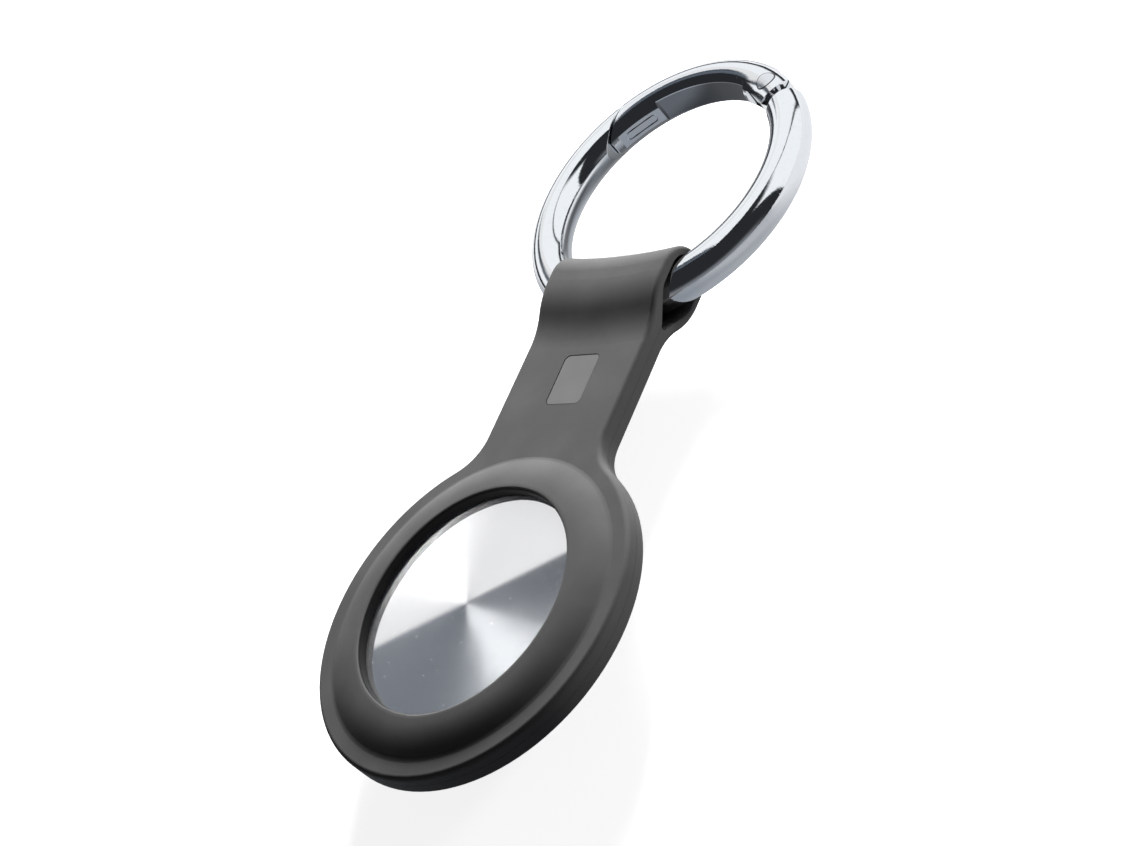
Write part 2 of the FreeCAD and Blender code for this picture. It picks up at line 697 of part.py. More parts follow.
def sector(inner, outer, middle, spread):
    """The plan of a piece of a ring, a spread of degrees about its middle."""
    start = f"{middle} - ({spread}) / 2"
    end = f"{middle} + ({spread}) / 2"
    return [
        polar(inner, start),
        polar(outer, start) + ("left", outer),
        polar(outer, end),
        polar(inner, end) + ("right", inner),
    ]


# The spring-gate ring, in its own frame: the rivet's axis crosses the X axis, the gate lies at +Y

RIVET = ("Derived.ring_radius", "0")


def make_ring_solid(body, section_radius):
    section = new_sketch(body, f"{body.Label}_section", "XZ_Plane")
    draw_circle(section, RIVET, section_radius)
    turn(body, "Revolution", section, f"{body.Label}_round")


def nose_line(gap):
    """Outer and inner end of the slanted cut between the ring's nose and the gate, moved by a gap."""
    heading = "Derived.nose_heading"
    middle = polar("Derived.ring_radius", "Sizes.nose_angle")
    moved = polar(gap, f"{heading} + 90", middle)
    return polar("-Derived.nose_reach", heading, moved), polar("Derived.nose_reach", heading, moved)


def keep_only(body, name, draw):
    """Cut away all of the body that lies outside a plan."""
    plan = new_sketch(body, f"{name}_plan", "XY_Plane")
    draw_circle(plan, ("0", "0"), "4 * Derived.ring_radius")
    draw(plan)
    extrude(body, "Pocket", plan, name)


def make_ring_body():
    body = new_body("ring_body", RING_PLACE)
    make_ring_solid(body, "Derived.wire_radius")
    outer, inner = nose_line("0")
    gap = new_sketch(body, "gate_gap_plan", "XY_Plane")
    low = "-Derived.shoulder_y"
    draw_outline(gap, [
        outer,
        inner,
        ("Derived.ring_radius - Sizes.ring_wire", low),
        ("Derived.ring_radius + Sizes.ring_wire", low),
        ("2 * Derived.ring_radius", "2 * Derived.ring_radius"),
    ])
    extrude(body, "Pocket", gap, "gate_gap")
    round_edges(body, "ring_nose_round", "Sizes.nose_edge_round", rim_edge(from_nose_line("0")))
    shoulder = number("Derived.shoulder_y")
    round_edges(body, "shoulder_round", "Sizes.shoulder_edge_round",
                rim_edge(lambda point: point.y + shoulder))

    tongue = new_sketch(body, "hinge_tongue_plan", "XY_Plane")
    half = "Derived.tongue_half"
    near = f"Derived.ring_radius - {half}"
    far = f"Derived.ring_radius + {half}"
    draw_outline(tongue, [
        polar(near, "-Derived.tongue_root"),
        polar(far, "-Derived.tongue_root") + ("left", far),
        (far, "0", "left", half),
        (f"Derived.ring_radius + sqrt({half}^2 - Sizes.tongue_flat^2)", "Sizes.tongue_flat"),
        (near, "Sizes.tongue_flat"),
        (near, "0", "right", near),
    ])
    extrude(body, "Pad", tongue, "hinge_tongue", "Sizes.tongue_thickness")

    hole = new_sketch(body, "tongue_hole_plan", "XY_Plane")
    draw_circle(hole, RIVET, "Derived.rivet_radius + Sizes.rivet_clearance")
    extrude(body, "Pocket", hole, "tongue_hole")
    return body


def make_gate_arm():
    body = new_body("gate_arm", RING_PLACE)
    make_ring_solid(body, "Derived.wire_radius")
    outer, inner = nose_line("Sizes.nose_gap")
    ear = "Derived.ear_round"
    tip = polar("Sizes.nose_tip_reach - Derived.nose_reach", "Derived.nose_heading", inner)
    keep_only(body, "gate_ends", lambda plan: draw_outline(plan, [
        outer,
        tip,
        tuple(f"({place}) / 2" for place in tip),
        (f"Derived.ring_radius - {ear}", "0", "left", ear),
        ("Derived.ring_radius", f"-{ear}", "left", ear),
        (f"Derived.ring_radius + {ear}", "0"),
        ("2 * Derived.ring_radius", "2 * Derived.ring_radius"),
    ]))
    round_edges(body, "gate_nose_round", "Sizes.nose_edge_round", at_gate_tip)

    flat = new_sketch(body, "gate_flat_plan", "XY_Plane")
    middle = "(Sizes.gate_flat_start + Sizes.gate_flat_end) / 2"
    spread = "Sizes.gate_flat_end - Sizes.gate_flat_start"
    draw_outline(flat, sector("Derived.gate_flat_radius - Sizes.ring_wire", "Derived.gate_flat_radius",
                              middle, spread))
    extrude(body, "Pocket", flat, "gate_flat")

    pad = new_sketch(body, "gate_pad_plan", "XY_Plane")
    middle = "(Sizes.gate_flat_end + Sizes.gate_pad_end) / 2"
    spread = "Sizes.gate_pad_end - Sizes.gate_flat_end"
    draw_outline(pad, sector("Derived.gate_pad_radius - Sizes.ring_wire", "Derived.gate_pad_radius",
                             middle, spread))
    extrude(body, "Pocket", pad, "gate_pad")
    groove = new_sketch(body, "pad_groove_face", "XZ_Plane", heading=f"{middle} - 90")
    draw_outline(groove, oblong("Sizes.pad_groove_run", "Sizes.pad_groove_width"))
    draw_outline(groove, oblong("Sizes.pad_groove_run", "Sizes.pad_groove_width - 2 * Sizes.pad_groove_line"))
    extrude(body, "Pocket", groove, "pad_groove", "2 * (Derived.gate_pad_radius + Sizes.pad_groove_depth)")

    slot = new_sketch(body, "fork_slot_plan", "XY_Plane")
    draw_outline(slot, [
        ("Derived.ring_radius - Sizes.ring_wire", "-Sizes.ring_wire"),
        ("Derived.ring_radius + Sizes.ring_wire", "-Sizes.ring_wire"),
        ("Derived.ring_radius + Sizes.ring_wire", "Derived.fork_depth"),
        ("Derived.ring_radius - Sizes.ring_wire", "Derived.fork_depth"),
    ])
    extrude(body, "Pocket", slot, "fork_slot", "Derived.fork_slot")

    hole = new_sketch(body, "ear_hole_plan", "XY_Plane")
    draw_circle(hole, RIVET, "Derived.rivet_radius")
    extrude(body, "Pocket", hole, "ear_holes")

    bore = new_sketch(body, "spring_bore_plan", "XZ_Plane")
    draw_circle(bore, ("Derived.plunger_x", "0"), "Derived.bore_radius")
    extrude(body, "Pocket", bore, "spring_bore", "2 * Derived.bore_end")
    return body


def make_gate_rivet():
    body = new_body("gate_rivet", RING_PLACE)
    make_ring_solid(body, "Derived.wire_radius + Sizes.rivet_proud")
    keep_only(body, "rivet_shank", lambda plan: draw_circle(plan, RIVET, "Derived.rivet_radius"))
    return body


def make_gate_plunger():
    body = new_body("gate_plunger", RING_PLACE)
    section = new_sketch(body, "plunger_section", "XY_Plane")
    axis, radius, tip = "Derived.plunger_x", "Derived.plunger_radius", "Derived.plunger_tip"
    draw_outline(section, [
        (axis, tip, "left", radius),
        (f"{axis} + {radius}", f"{tip} + {radius}"),
        (f"{axis} + {radius}", "Derived.plunger_back"),
        (axis, "Derived.plunger_back"),
    ])
    line = draw_axis(section, (axis, "0"), (axis, "Derived.bore_end"))
    turn(body, "Revolution", section, "plunger_turned", line)
    return body


def make_gate_spring():
    body = new_body("gate_spring", RING_PLACE)
    section = new_sketch(body, "spring_section", "XY_Plane")
    axis = "Derived.plunger_x"
    wire = "Sizes.spring_wire / 2"
    draw_circle(section, (f"{axis} + Derived.spring_radius", f"Derived.plunger_back + {wire}"), wire)
    line = draw_axis(section, (axis, "0"), (axis, "Derived.bore_end"))
    coil = body.newObject("PartDesign::AdditiveHelix", "spring_coil")
    coil.Profile = section
    coil.ReferenceAxis = line
    coil.Mode = "height-turns-angle"
    coil.setExpression("Height", "Derived.spring_length")
    coil.setExpression("Turns", "Sizes.spring_turns")
    doc.recompute()
    return body


# The tracker tag: domed shell, bayonet cover, coin cell, and what lies under the cell

def make_tag_shell():
    wall = "Sizes.shell_wall"
    inside = tag_surface(f"-{wall}")
    corner = "Derived.tag_radius - Sizes.shell_wall"
    body = make_lathe_piece("tag_shell", [
        ("Derived.mouth_radius", "Derived.tag_rim"),
        ("Derived.tag_radius - Sizes.rim_round", "Derived.tag_rim", "right", "Sizes.rim_round"),
    ] + tag_surface("0") + [
        ("0", "Derived.tag_apex"),
        ("0", f"Derived.tag_apex + {wall}", "left", inside[1][3]),
        inside[1][:2] + ("left", inside[0][3]),
        inside[0][:2],
        (corner, "Derived.bayonet_floor"),
        ("Derived.mouth_radius", "Derived.bayonet_floor"),
    ])
    notch = new_sketch(body, "bayonet_entry_plan", "XY_Plane", "Derived.tag_rim")
    gap = "Sizes.cover_gap"
    draw_outline(notch, sector("Derived.skirt_inner", f"Derived.lug_radius + {gap}",
                               "90 + Sizes.lug_turn", "Sizes.lug_angle + Sizes.lug_play"))
    entry = extrude(body, "Pocket", notch, "bayonet_entry", "2 * Sizes.bayonet_lip")
    repeat_round(body, entry, "bayonet_entries")
    return body


def make_tag_cover():
    edge = "Sizes.cover_edge_round"
    skirt = "Derived.lug_top + Sizes.skirt_gap"
    sheet = "Derived.tag_top - Sizes.cover_sheet"
    return make_lathe_piece("tag_cover", [
        ("0", "Derived.tag_top"),
        (f"Derived.cover_radius - {edge}", "Derived.tag_top", "right", edge),
        ("Derived.cover_radius", f"Derived.tag_top - {edge}"),
        ("Derived.cover_radius", skirt),
        ("Derived.skirt_inner", skirt),
        ("Derived.skirt_inner", sheet),
        ("0", sheet),
    ])


def make_tag_cover_ring():
    body = make_lathe_piece("tag_cover_ring", block(
        "Derived.bayonet_ring_inner", "Derived.skirt_inner",
        "Derived.bayonet_ring_bottom", "Derived.bayonet_ring_top"))
    plan = new_sketch(body, "lug_plan", "XY_Plane", "(Derived.lug_top + Derived.lug_bottom) / 2")
    draw_outline(plan, sector("Derived.skirt_inner - Sizes.bayonet_ring_width / 2",
                              "Derived.lug_radius", "90", "Sizes.lug_angle"))
    lug = extrude(body, "Pad", plan, "bayonet_lug", "Sizes.lug_thickness")
    repeat_round(body, lug, "bayonet_lugs")
    return body


def make_coin_cell():
    sheet = "Sizes.cell_sheet"
    top, low = "Derived.cell_top", "Derived.cell_bottom"
    can = "Derived.cell_radius"
    crimp = f"{low} + 2 * {sheet}"
    make_lathe_piece("coin_cell_can", [
        ("0", top),
        (f"{can} - {sheet}", top, "right", sheet),
        (can, f"{top} - {sheet}"),
        (can, crimp),
        (f"{can} - 2 * {sheet}", f"{crimp} - {sheet}"),
        (f"{can} - 2 * {sheet}", crimp),
        (f"{can} - {sheet}", f"{crimp} + {sheet} / 2"),
        (f"{can} - {sheet}", f"{top} - {sheet}"),
        ("0", f"{top} - {sheet}"),
    ])
    seat = f"{crimp} + {sheet} / 2"
    roof = f"{top} - {sheet}"
    make_lathe_piece("coin_cell_gasket", block("Derived.gasket_inner", "Derived.gasket_outer", seat, roof))
    cap = "Derived.gasket_inner"
    make_lathe_piece("coin_cell_cap", [
        ("0", low),
        (f"{cap} - 2 * {sheet}", low, "left", f"2 * {sheet}"),
        (cap, crimp),
        (cap, roof),
        (f"{cap} - {sheet}", roof),
        (f"{cap} - {sheet}", crimp, "right", sheet),
        (f"{cap} - 2 * {sheet}", f"{low} + {sheet}"),
        ("0", f"{low} + {sheet}"),
    ])


LEAF_INNER = "Derived.cell_radius + Sizes.tray_gap"
LEAF_OUTER = "Derived.cell_radius + Sizes.tray_gap + Sizes.contact_sheet"
LEAF_FOOT = "Sizes.contact_angle / 2"
BUTTON_Y = "Derived.button_y"
BUTTON_LENGTH = "Sizes.contact_width / 2"


def make_tag_tray():
    wall = "Derived.well_radius + Sizes.tray_wall"
    body = make_lathe_piece("tag_tray", [
        ("0", "Derived.tray_top"),
        ("0", "Derived.tray_bottom"),
        (wall, "Derived.tray_bottom"),
        (wall, "Derived.flange_bottom"),
        ("Derived.flange_radius", "Derived.flange_bottom"),
        ("Derived.flange_radius", "Derived.flange_top"),
        ("Derived.well_radius", "Derived.flange_top"),
        ("Derived.well_radius", "Derived.tray_top"),
    ])
    slots = new_sketch(body, "contact_slots_plan", "XY_Plane", "Derived.tray_top")
    room = "2 * Sizes.pocket_clearance"
    draw_outline(slots, rectangle("0", BUTTON_Y, f"Sizes.contact_width + {room}",
                                  f"{BUTTON_LENGTH} + {room}"))
    draw_outline(slots, sector(f"{LEAF_INNER} - {room}", f"{LEAF_OUTER} + {room}", "0",
                               f"{LEAF_FOOT} + Sizes.leaf_slot_play"))
    extrude(body, "Pocket", slots, "contact_slots", "2 * Sizes.tray_floor")
    return body


def make_contacts():
    """The side leaf on the cell's can, and the button under its cap, both standing on the board."""
    body = new_body("tag_contact_positive", DISC_PLACE)
    upper = "Derived.flange_top - Sizes.tray_gap"
    leaf = new_sketch(body, "leaf_plan", "XY_Plane", f"({upper} + Derived.tray_top) / 2")
    draw_outline(leaf, sector(LEAF_INNER, LEAF_OUTER, "0", "Sizes.contact_angle"))
    extrude(body, "Pad", leaf, "leaf", f"{upper} - Derived.tray_top")
    foot = new_sketch(body, "leaf_foot_plan", "XY_Plane", "Derived.tray_top")
    draw_outline(foot, sector(LEAF_INNER, LEAF_OUTER, "0", LEAF_FOOT))
    extrude(body, "Pad", foot, "leaf_foot", "2 * (Derived.tray_top - Derived.board_top)")

    body = new_body("tag_contact_negative", DISC_PLACE)
    button = new_sketch(body, "button_plan", "XY_Plane", "(Derived.cell_bottom + Derived.board_top) / 2")
    draw_outline(button, rectangle("0", BUTTON_Y, "Sizes.contact_width", BUTTON_LENGTH))
    extrude(body, "Pad", button, "button", "Derived.cell_bottom - Derived.board_top")


def make_board():
    make_lathe_piece("tag_circuit_board", block(
        "Derived.board_inner", "Derived.board_outer", "Derived.board_bottom", "Derived.board_top"))
    body = new_body("tag_chips", DISC_PLACE)
    plan = new_sketch(body, "chips_plan", "XY_Plane", "Derived.board_bottom - Sizes.chip_height / 2")
    for index in range(int(number("Sizes.chip_count"))):
        x, y = polar("Derived.chip_circle", f"Sizes.chip_first_angle + {index} * Sizes.chip_step_angle")
        draw_outline(plan, rectangle(x, y, "Sizes.chip_side", "Sizes.chip_side"))
    extrude(body, "Pad", plan, "chips", "Sizes.chip_height")


def make_sounder():
    rim = "Derived.sounder_inner"
    make_lathe_piece("tag_sounder_cup", [
        ("0", "Derived.tray_bottom"),
        ("0", "Derived.magnet_top"),
        (rim, "Derived.magnet_top"),
        (rim, "Derived.sounder_bottom"),
        ("Derived.sounder_radius", "Derived.sounder_bottom"),
        ("Derived.sounder_radius", "Derived.tray_bottom"),
    ])
    make_lathe_piece("tag_sounder_magnet", block(
        "0", "Derived.magnet_radius", "Derived.sounder_bottom", "Derived.magnet_top"))
    make_lathe_piece("tag_sounder_coil", block(
        "Derived.coil_inner", "Derived.coil_outer", "Derived.coil_bottom",
        "Derived.coil_bottom + Sizes.coil_height"))


def make_antenna():
    outer = "Derived.flange_radius - 2 * Sizes.pocket_clearance"
    make_lathe_piece("tag_antenna", block(
        f"{outer} - Sizes.antenna_width", outer,
        "Derived.flange_bottom - Sizes.antenna_sheet", "Derived.flange_bottom"), "Sizes.antenna_angle")


def finish():
    """Stop on any failed object or bad shape, then write one file for each sub-part."""
    doc.recompute()
    for item in doc.Objects:
        if {"Invalid", "Error"} & set(item.State):
            raise RuntimeError(f"{item.Name} failed: {item.State}")
    os.makedirs("parts", exist_ok=True)
    for item in doc.Objects:
        if item.TypeId == "PartDesign::Body":
            shape = item.Shape
            if shape.isNull() or not shape.isValid():
                raise RuntimeError(f"{item.Label} has a bad shape")
            shape.exportStep(f"parts/{item.Label}.step")


make_holder()
make_ring_body()
make_gate_arm()
make_gate_rivet()
make_gate_plunger()
make_gate_spring()
make_tag_shell()
make_tag_cover()
make_tag_cover_ring()
make_coin_cell()
make_tag_tray()
make_contacts()
make_board()
make_sounder()
make_antenna()
finish()
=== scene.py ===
"""Looks of the tracker tag holder: finishes, bare inlay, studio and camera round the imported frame. Metres."""
import math

import bmesh
import bpy
from mathutils import Matrix, Vector


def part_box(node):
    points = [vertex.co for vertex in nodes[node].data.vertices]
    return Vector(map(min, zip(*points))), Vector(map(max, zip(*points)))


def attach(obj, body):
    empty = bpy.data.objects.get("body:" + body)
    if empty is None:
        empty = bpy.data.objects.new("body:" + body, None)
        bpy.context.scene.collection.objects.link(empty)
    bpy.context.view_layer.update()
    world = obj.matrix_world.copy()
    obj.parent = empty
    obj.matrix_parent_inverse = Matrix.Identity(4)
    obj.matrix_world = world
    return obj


MM = 0.001

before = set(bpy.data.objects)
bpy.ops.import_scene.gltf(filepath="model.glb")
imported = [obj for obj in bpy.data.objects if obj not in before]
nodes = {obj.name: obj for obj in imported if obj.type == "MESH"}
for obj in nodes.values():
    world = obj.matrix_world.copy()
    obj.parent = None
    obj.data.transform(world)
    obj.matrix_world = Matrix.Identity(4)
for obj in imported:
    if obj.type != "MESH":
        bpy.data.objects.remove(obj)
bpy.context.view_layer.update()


def middle_of(name):
    low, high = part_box(name)
    return (Vector(low) + Vector(high)) / 2


# Places on the part that the finishes and the lamps are set out from

SLEEVE_LOW, SLEEVE_HIGH = (Vector(corner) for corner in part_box("holder_sleeve"))
DISC_RADIUS = (SLEEVE_HIGH.x - SLEEVE_LOW.x) / 2
PARTING_HEIGHT = 6.8 * MM
DISC = Vector((0, SLEEVE_LOW.y + DISC_RADIUS, PARTING_HEIGHT))
COVER_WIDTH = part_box("tag_cover")[1][0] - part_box("tag_cover")[0][0]
LIP_OVERLAP = 0.25 * MM
LIP_RADIUS = COVER_WIDTH / 2 - LIP_OVERLAP
RIVET = middle_of("gate_rivet")
RIVET_RADIUS = (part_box("gate_rivet")[1][0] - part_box("gate_rivet")[0][0]) / 2
RING_OUTER_RADIUS = 17.55 * MM
RING = Vector((0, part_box("gate_arm")[1][1] - RING_OUTER_RADIUS, middle_of("ring_body").z))


class Graph:
    """A material's or the world's node tree, built by small formulas."""

    def __init__(self, owner):
        owner.use_nodes = True
        self.tree = owner.node_tree
        self.tree.nodes.clear()

    def node(self, kind, **settings):
        made = self.tree.nodes.new(kind)
        for name, value in settings.items():
            setattr(made, name, value)
        return made

    def put(self, socket, value):
        """Join a socket to another node's output, or set its own number."""
        if isinstance(value, bpy.types.NodeSocket):
            self.tree.links.new(value, socket)
        else:
            socket.default_value = value

    def math(self, operation, *values):
        made = self.node("ShaderNodeMath", operation=operation)
        for socket, value in zip(made.inputs, values):
            self.put(socket, value)
        return made.outputs[0]

    def times(self, first, *others):
        for other in others:
            first = self.math("MULTIPLY", first, other)
        return first

    def plus(self, first, *others):
        for other in others:
            first = self.math("ADD", first, other)
        return first

    def apart(self, first, second):
        """How far two numbers are apart, without a sign."""
        return self.math("ABSOLUTE", self.math("SUBTRACT", first, second))

    def ramp(self, value, start, end, low=0.0, high=1.0):
        """A smooth step from low to high as the value goes from start to end."""
        made = self.node("ShaderNodeMapRange", interpolation_type="SMOOTHSTEP")
        for socket, number in zip(made.inputs, (value, start, end, low, high)):
            self.put(socket, number)
        return made.outputs[0]

    def fall(self, value, start, end):
        """A smooth step from one down to nothing as the value goes from start to end."""
        return self.ramp(value, start, end, 1.0, 0.0)

    def band(self, value, low, high, soft):
        """One between low and high, and nothing outside, with soft ends."""
        rising = self.ramp(value, low - soft, low + soft)
        return self.times(rising, self.fall(value, high - soft, high + soft))

    def mix(self, factor, first, second):
        made = self.node("ShaderNodeMix", data_type="RGBA")
        for name, value in (("Factor", factor), ("A", first), ("B", second)):
            socket = next(item for item in made.inputs if item.name == name and item.enabled)
            self.put(socket, value)
        return next(item for item in made.outputs if item.enabled)

    def place(self):
        """Place on the object, in the part's own frame."""
        return self.node("ShaderNodeTexCoord").outputs["Object"]

    def split(self, vector):
        made = self.node("ShaderNodeSeparateXYZ")
        self.put(made.inputs[0], vector)
        return made.outputs

    def noise(self, scale, detail=3.0, vector=None):
        made = self.node("ShaderNodeTexNoise")
        self.put(made.inputs["Vector"], vector or self.place())
        made.inputs["Scale"].default_value = scale
        made.inputs["Detail"].default_value = detail
        return made.outputs["Fac"]

    def from_axis(self, middle):
        """Places across and along from an upright axis, and the distance from it."""
        x, y, _ = self.split(self.place())
        across = self.math("SUBTRACT", x, middle.x)
        along = self.math("SUBTRACT", y, middle.y)
        squares = self.plus(self.times(across, across), self.times(along, along))
        return across, along, self.math("SQRT", squares)

    def bump(self, height, depth, normal=None):
        """A relief of the given depth where the height goes from 0 to 1."""
        made = self.node("ShaderNodeBump")
        made.inputs["Distance"].default_value = depth
        self.put(made.inputs["Height"], height)
        if normal is not None:
            self.put(made.inputs["Normal"], normal)
        return made.outputs[0]

    def finish(self, shader):
        self.put(self.node("ShaderNodeOutputMaterial").inputs["Surface"], shader)


def grey(level):
    return (level, level, level, 1.0)


def surface(graph, **values):
    """The surface shader, with its sockets set by name; an underscore stands for a space."""
    shader = graph.node("ShaderNodeBsdfPrincipled")
    for name, value in values.items():
        graph.put(shader.inputs[name.replace("_", " ")], value)
    graph.finish(shader.outputs[0])


def new_graph(name):
    material = bpy.data.materials.new(name)
    return material, Graph(material)


# The stretch of a noise, from nothing to one, over which a tone or a gloss changes

TONE_STRETCH = (0.35, 0.75)
GLOSS_STRETCH = (0.3, 0.7)


# Silicone of the sleeve

SILICONE = (0.107, 0.106, 0.106, 1.0)
SILICONE_WORN = (0.126, 0.124, 0.124, 1.0)
SILICONE_GLOSS = (0.5, 0.66)
SPARK_SCALE = 9000
SPARK_DEPTH = 0.006 * MM
BLOOM_SCALE = 160
PARTING_LINE = (0.03 * MM, 0.09 * MM)
PARTING_DEPTH = 0.05 * MM
PARTING_RIM = (DISC_RADIUS - 0.5 * MM, DISC_RADIUS - 0.3 * MM)
# Painted shade for the wall inside the lip, and where that shade ends
LIP_WALL_PAINTED_SHADE = (0.010, 0.010, 0.010, 1.0)
LIP_WALL_EDGE = (LIP_RADIUS + 0.03 * MM, LIP_RADIUS + 0.14 * MM)


def silicone():
    """Matt moulded silicone: spark grain, a faint bloom, the parting line, and painted shade that darkens the
    wall inside the lip.
    """
    material, graph = new_graph("silicone_matt")
    z = graph.split(graph.place())[2]
    grain = graph.noise(SPARK_SCALE, 2.0)
    bloom = graph.noise(BLOOM_SCALE, 4.0)
    line = graph.fall(graph.apart(z, DISC.z), *PARTING_LINE)
    distance = graph.from_axis(DISC)[2]
    seam = graph.times(line, graph.ramp(distance, *PARTING_RIM))
    relief = graph.bump(seam, PARTING_DEPTH, graph.bump(grain, SPARK_DEPTH))
    matt = graph.mix(graph.ramp(bloom, *TONE_STRETCH), SILICONE, SILICONE_WORN)
    # Painted shade: the wall inside the lip, above the parting height, is darkened to stand in for the shadow
    # in the recess
    in_lip = graph.fall(distance, *LIP_WALL_EDGE)
    lip_wall_shade = graph.times(in_lip, graph.math("GREATER_THAN", z, DISC.z))
    surface(graph, Base_Color=graph.mix(lip_wall_shade, matt, LIP_WALL_PAINTED_SHADE),
            Roughness=graph.ramp(grain, *GLOSS_STRETCH, *SILICONE_GLOSS), Normal=relief,
            Specular_IOR_Level=0.14, Sheen_Weight=0.03, Sheen_Roughness=0.45)
    return material


# Bright plating of the ring, the gate and the rivet

WAVE_SCALE = 240
PIT_SCALE = 4200
PIT_STRETCH = (0.72, 0.8)
PIT_DEPTH = 0.003 * MM
GRIT_SCALE = 5200
GRIT_DEPTH = 0.0032 * MM
HAIR_SCALE = 1500
HAIR_STRETCH = (0.5, 0.75)
HAIR_ROUGHNESS = 0.03
RUBBED_SHARE = 0.97
RIVET_LINE = 0.07 * MM
RIVET_LINE_TONE = (0.10, 0.10, 0.105, 1.0)
# Where the painted shade on the gate's curved inner flat lies, and how dark it makes the plating
GATE_FLAT_RADIUS = 13.73 * MM
GATE_FLAT_REACH = 1.4 * MM
GATE_FLAT_EDGE = 0.03 * MM
GATE_FLAT_PAINTED_SHADE = (0.36, 0.37, 0.385, 1.0)


def gate_flat_shade_mask(graph):
    """One on the curved flat inside the gate, where the recess gets painted shade, and nothing elsewhere."""
    z = graph.split(graph.place())[2]
    height = graph.apart(z, RING.z)
    depth = graph.apart(graph.from_axis(RING)[2], GATE_FLAT_RADIUS)
    on_curve = graph.fall(depth, GATE_FLAT_EDGE, 2 * GATE_FLAT_EDGE)
    return graph.times(on_curve, graph.fall(height, GATE_FLAT_REACH, GATE_FLAT_REACH + GATE_FLAT_EDGE))


def chrome(name, tint, roughness, wave, shade_inner_flat=False):
    """Plating over a die casting: a slow waviness, fine pits, hairline marks, a dark line at the rivet, and
    optionally painted shade darkening the gate's curved inner flat.
    """
    material, graph = new_graph(name)
    slow = graph.noise(WAVE_SCALE, 2.0)
    pits = graph.ramp(graph.noise(PIT_SCALE, 2.0), *PIT_STRETCH)
    hair = graph.ramp(graph.noise(HAIR_SCALE, 6.0), *HAIR_STRETCH)
    grit = graph.bump(graph.noise(GRIT_SCALE, 1.0), GRIT_DEPTH)
    relief = graph.bump(slow, wave, graph.bump(pits, PIT_DEPTH, grit))
    rubbed = tuple(RUBBED_SHARE * part for part in tint[:3]) + (1.0,)
    past_rivet = graph.math("SUBTRACT", graph.from_axis(RIVET)[2], RIVET_RADIUS)
    line = graph.band(past_rivet, -RIVET_LINE, RIVET_LINE, RIVET_LINE / 2)
    plated = graph.mix(line, graph.mix(hair, tint, rubbed), RIVET_LINE_TONE)
    # Painted shade: the curved flat inside the gate is darkened to stand in for shade in the recess
    if shade_inner_flat:
        plated = graph.mix(gate_flat_shade_mask(graph), plated, GATE_FLAT_PAINTED_SHADE)
    surface(graph, Base_Color=plated, Metallic=1.0,
            Roughness=graph.plus(graph.times(hair, HAIR_ROUGHNESS), roughness), Normal=relief)
    return material


# Spun steel of the tag's cover

STEEL = (0.90, 0.905, 0.915, 1.0)
STEEL_WORN = (0.87, 0.875, 0.885, 1.0)
WEAR_SCALE = 2600
WEAR_STRETCH = (0.55, 0.85)
WEAR_ROUGHNESS = 0.008
GROOVE_PITCH = 0.045 * MM
GROOVE_SHARE = 0.11
GROOVE_ROUGHNESS = 0.344
MIRROR_ROUGHNESS = 0.022
GROOVE_STRETCH = 0.915
QUARTER_TURN = 0.25


def spun_steel():
    """Mirror-bright steel with the fine rings that polishing leaves about its middle."""
    material, graph = new_graph("spun_steel")
    phase = graph.math("FRACT", graph.math("DIVIDE", graph.from_axis(DISC)[2], GROOVE_PITCH))
    groove = graph.math("LESS_THAN", phase, GROOVE_SHARE)
    wear = graph.ramp(graph.noise(WEAR_SCALE, 5.0), *WEAR_STRETCH)
    mirror = graph.plus(graph.times(wear, WEAR_ROUGHNESS), MIRROR_ROUGHNESS)
    along_rings = graph.node("ShaderNodeTangent", direction_type="RADIAL", axis="Z").outputs[0]
    surface(graph, Base_Color=graph.mix(wear, STEEL, STEEL_WORN), Metallic=0.95,
            Roughness=graph.math("MAXIMUM", graph.times(groove, GROOVE_ROUGHNESS), mirror),
            Anisotropic=GROOVE_STRETCH, Anisotropic_Rotation=QUARTER_TURN, Tangent=along_rings)
    return material


# Plastics and sheet metals inside the tag and the gate

MOULD_GRAIN_SCALE = 7000
MOULD_TONE_SCALE = 220
MOULD_GLOSS_CHANGE = 0.1
BRUSH_SCALE = 900
BRUSH_STRETCH = (1.0, 14.0, 14.0)
BRUSH_DEPTH = 0.002 * MM
BRUSH_GLOSS_CHANGE = 0.14
MASK_GREEN = (0.012, 0.085, 0.030, 1.0)
TRACK_GREEN = (0.030, 0.150, 0.055, 1.0)
TRACK_PITCH = 0.6 * MM
TRACK_DEPTH = 0.015 * MM
SPOKES = 48.0
MASK_SCALE = 3000
MASK_GLOSS = (0.28, 0.4)


def moulded(name, colour, worn, roughness, grain_depth, coat=0.0):
    """Moulded plastic with a fine grain and a slightly uneven tone."""
    material, graph = new_graph(name)
    grain = graph.noise(MOULD_GRAIN_SCALE, 2.0)
    tone = graph.noise(MOULD_TONE_SCALE, 3.0)
    gloss = graph.ramp(grain, *GLOSS_STRETCH, roughness, roughness + MOULD_GLOSS_CHANGE)
    surface(graph, Base_Color=graph.mix(graph.ramp(tone, *TONE_STRETCH), colour, worn), Roughness=gloss,
            Normal=graph.bump(grain, grain_depth), Coat_Weight=coat, Coat_Roughness=0.08)
    return material


def brushed(name, colour, dull, roughness):
    """Rolled or stamped sheet metal with a directional brush."""
    material, graph = new_graph(name)
    stretch = graph.node("ShaderNodeMapping")
    graph.put(stretch.inputs["Vector"], graph.place())
    stretch.inputs["Scale"].default_value = BRUSH_STRETCH
    lines = graph.noise(BRUSH_SCALE, 5.0, stretch.outputs[0])
    gloss = graph.ramp(lines, *GLOSS_STRETCH, roughness, roughness + BRUSH_GLOSS_CHANGE)
    surface(graph, Base_Color=graph.mix(lines, colour, dull), Metallic=1.0, Roughness=gloss,
            Normal=graph.bump(lines, BRUSH_DEPTH))
    return material


